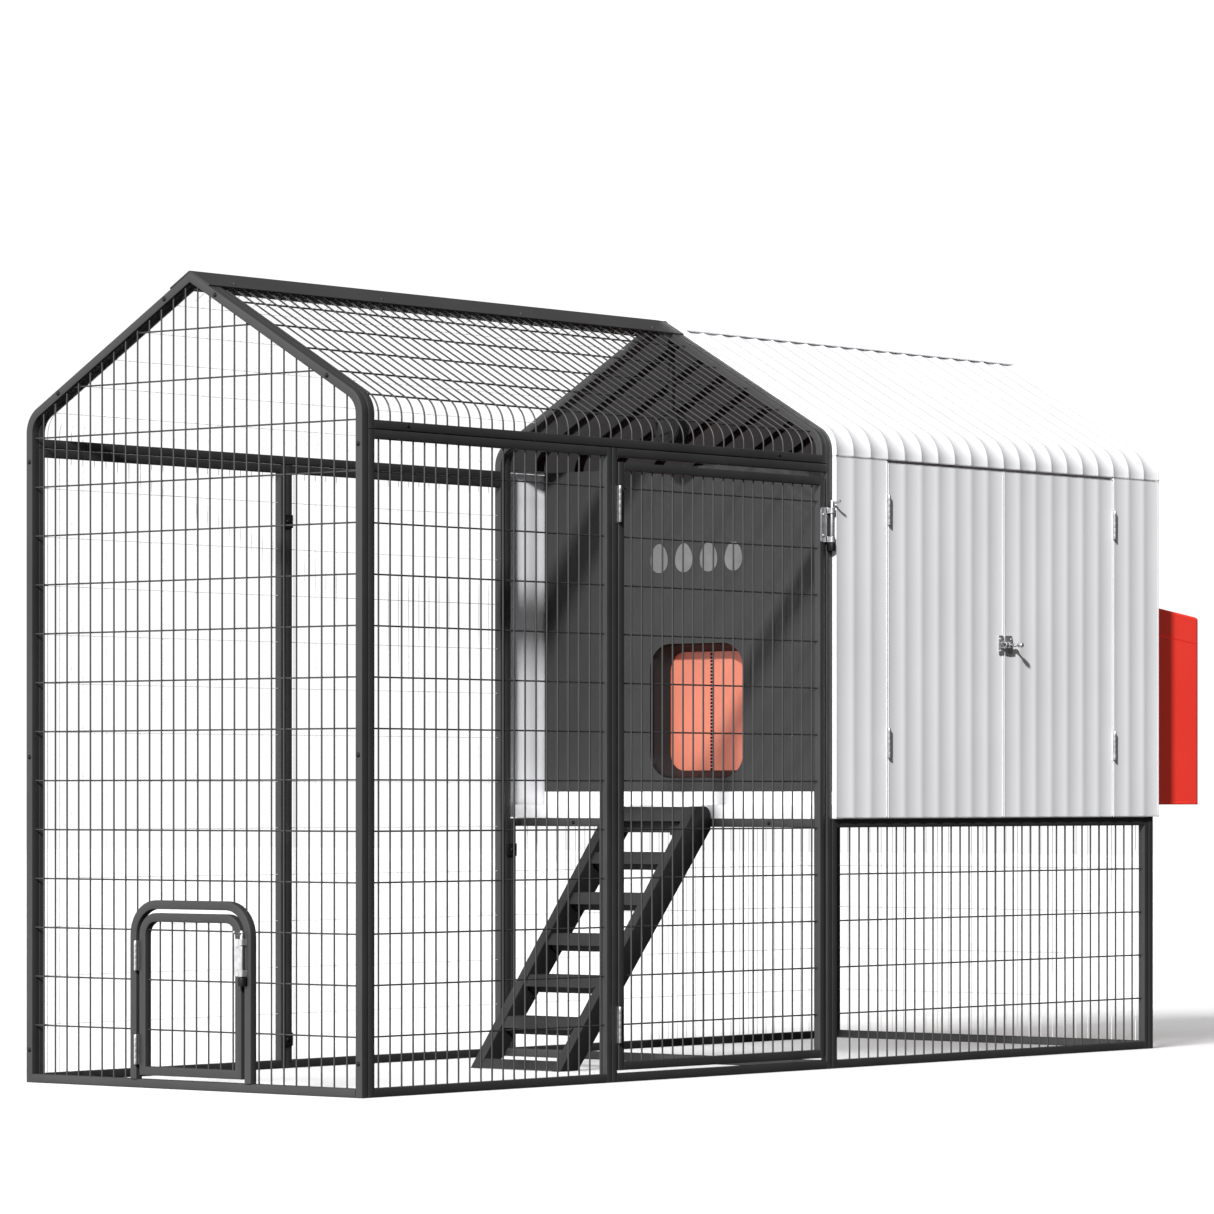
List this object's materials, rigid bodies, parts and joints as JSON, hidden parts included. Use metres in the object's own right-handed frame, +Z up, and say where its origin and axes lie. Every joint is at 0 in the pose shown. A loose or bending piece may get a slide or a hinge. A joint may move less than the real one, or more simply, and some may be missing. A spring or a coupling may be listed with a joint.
{
  "type": "chicken coop",
  "caption": "Raised poultry house with a walk-in wire run, ladder, lifting pop door, hinged doors and an outside nest box.",
  "frame": {"origin": "on the ground, at the middle of the whole coop's box", "axes": "+X along the coop from the run's gable end to the nest box, +Y from front to back, +Z up"},
  "size_m": [3.4768, 1.1142, 1.8588],
  "materials": {
    "frame_paint": "charcoal powder coat on steel tube, satin",
    "wire_paint": "charcoal coating on welded wire, satin",
    "white_shell": "white scooped wall and roof sheet, satin",
    "inner_shell": "dark grey moulded wall, matt",
    "ladder_plastic": "charcoal moulded plastic, matt",
    "red_plastic": "red moulded plastic, satin",
    "pop_plastic": "coral moulded plastic, satin",
    "zinc": "bright zinc plate",
    "black_plastic": "black plastic, satin",
    "timber": "planed softwood, bare"
  },
  "bodies": {
    "coop": {"back_panel_left_frame": "frame_paint", "back_panel_left_mesh": "zinc", "back_panel_right_frame": "frame_paint", "back_panel_right_mesh": "zinc", "camera_pod": "black_plastic", "drive_motor": "black_plastic", "end_hoop": "frame_paint", "floor_beam": "frame_paint", "front_panel_frame": "frame_paint", "front_panel_mesh": "wire_paint", "gate_latch_socket": "black_plastic", "gate_surround": "frame_paint", "house_back_wall": "white_shell", "house_end_wall": "white_shell", "house_floor": "white_shell", "house_front_left_wall": "white_shell", "house_front_right_wall": "white_shell", "house_ridge_cap": "white_shell", "house_roof_back": "white_shell", "house_roof_front": "white_shell", "inner_wall": "inner_shell", "middle_hoop": "frame_paint", "nest_box_shell": "red_plastic", "roost": "timber", "run_door_latch_socket": "black_plastic", "run_door_surround": "frame_paint", "run_end_hoop": "frame_paint", "run_end_mesh": "wire_paint", "run_ridge_cap": "frame_paint", "run_roof_back_frame": "frame_paint", "run_roof_back_mesh": "zinc", "run_roof_front_frame": "frame_paint", "run_roof_front_mesh": "wire_paint", "underhouse_back_panel": "frame_paint", "underhouse_end_mesh": "zinc", "underhouse_front_panel": "frame_paint"},
    "run_door": {"run_door_frame": "frame_paint", "run_door_mesh": "wire_paint", "run_door_hinge_upper": "zinc", "run_door_hinge_lower": "zinc", "run_door_latch_plate": "zinc"},
    "run_door_latch": {"run_door_latch_bolt": "zinc"},
    "gate": {"gate_leaf": "frame_paint", "gate_hinge_upper": "zinc", "gate_hinge_lower": "zinc", "gate_latch_plate": "zinc"},
    "gate_latch": {"gate_latch_bolt": "zinc"},
    "house_door_left": {"house_door_left": "white_shell", "house_hinge_left_upper": "zinc", "house_hinge_left_lower": "zinc", "house_latch_keeper": "zinc"},
    "house_door_right": {"house_door_right": "white_shell", "house_hinge_right_upper": "zinc", "house_hinge_right_lower": "zinc", "house_latch_base": "zinc"},
    "house_latch": {"house_latch_bolt": "zinc"},
    "pop_door": {"pop_door": "pop_plastic"},
    "drive_pinion": {"drive_pinion": "black_plastic"},
    "nest_lid": {"nest_box_lid": "red_plastic"},
    "ramp": {"ramp_ladder": "ladder_plastic"}
  },
  "joints": [
    {"name": "run_door_hinge", "type": "hinge", "parent": "coop", "child": "run_door", "pos_m": [-0.827, -0.5325, 0.73], "axis": [0, 0, -1], "range_deg": [0, 110]},
    {"name": "run_door_latch_slide", "type": "slide", "parent": "run_door", "child": "run_door_latch", "axis": [0, 0, -1], "range_m": [0, 0.009]},
    {"name": "gate_hinge", "type": "hinge", "parent": "coop", "child": "gate", "pos_m": [-1.7135, 0.1597, 0.21], "axis": [0, 0, -1], "range_deg": [0, 110]},
    {"name": "gate_latch_slide", "type": "slide", "parent": "gate", "child": "gate_latch", "axis": [0, 0, -1], "range_m": [0, 0.009]},
    {"name": "house_door_left_hinge", "type": "hinge", "parent": "coop", "child": "house_door_left", "pos_m": [0.1955, -0.5426, 1.05], "axis": [0, 0, -1], "range_deg": [0, 110]},
    {"name": "house_door_right_hinge", "type": "hinge", "parent": "coop", "child": "house_door_right", "pos_m": [1.1685, -0.5426, 1.05], "axis": [0, 0, 1], "range_deg": [0, 110]},
    {"name": "house_latch_slide", "type": "slide", "parent": "house_door_right", "child": "house_latch", "axis": [-1, 0, 0], "range_m": [0, 0.01]},
    {"name": "pop_door_slide", "type": "slide", "parent": "coop", "child": "pop_door", "axis": [0, 0, 1], "range_m": [0, 0.36]},
    {"name": "drive_pinion_spin", "type": "hinge", "parent": "coop", "child": "drive_pinion", "pos_m": [0.23311, 0.024, 1.0772], "axis": [0, 1, 0], "range_deg": [0, 1230]},
    {"name": "nest_lid_hinge", "type": "hinge", "parent": "coop", "child": "nest_lid", "pos_m": [1.3778, 0, 1.179], "axis": [0, -1, 0], "range_deg": [0, 85]},
    {"name": "ramp_hinge", "type": "hinge", "parent": "coop", "child": "ramp", "pos_m": [-0.001, 0.024, 0.612], "axis": [0, 1, 0], "range_deg": [0, 45]}
  ],
  "couplings": [
    {"joint": "drive_pinion_spin", "follows": "pop_door_slide", "rad_per_m": 59.5}
  ]
}
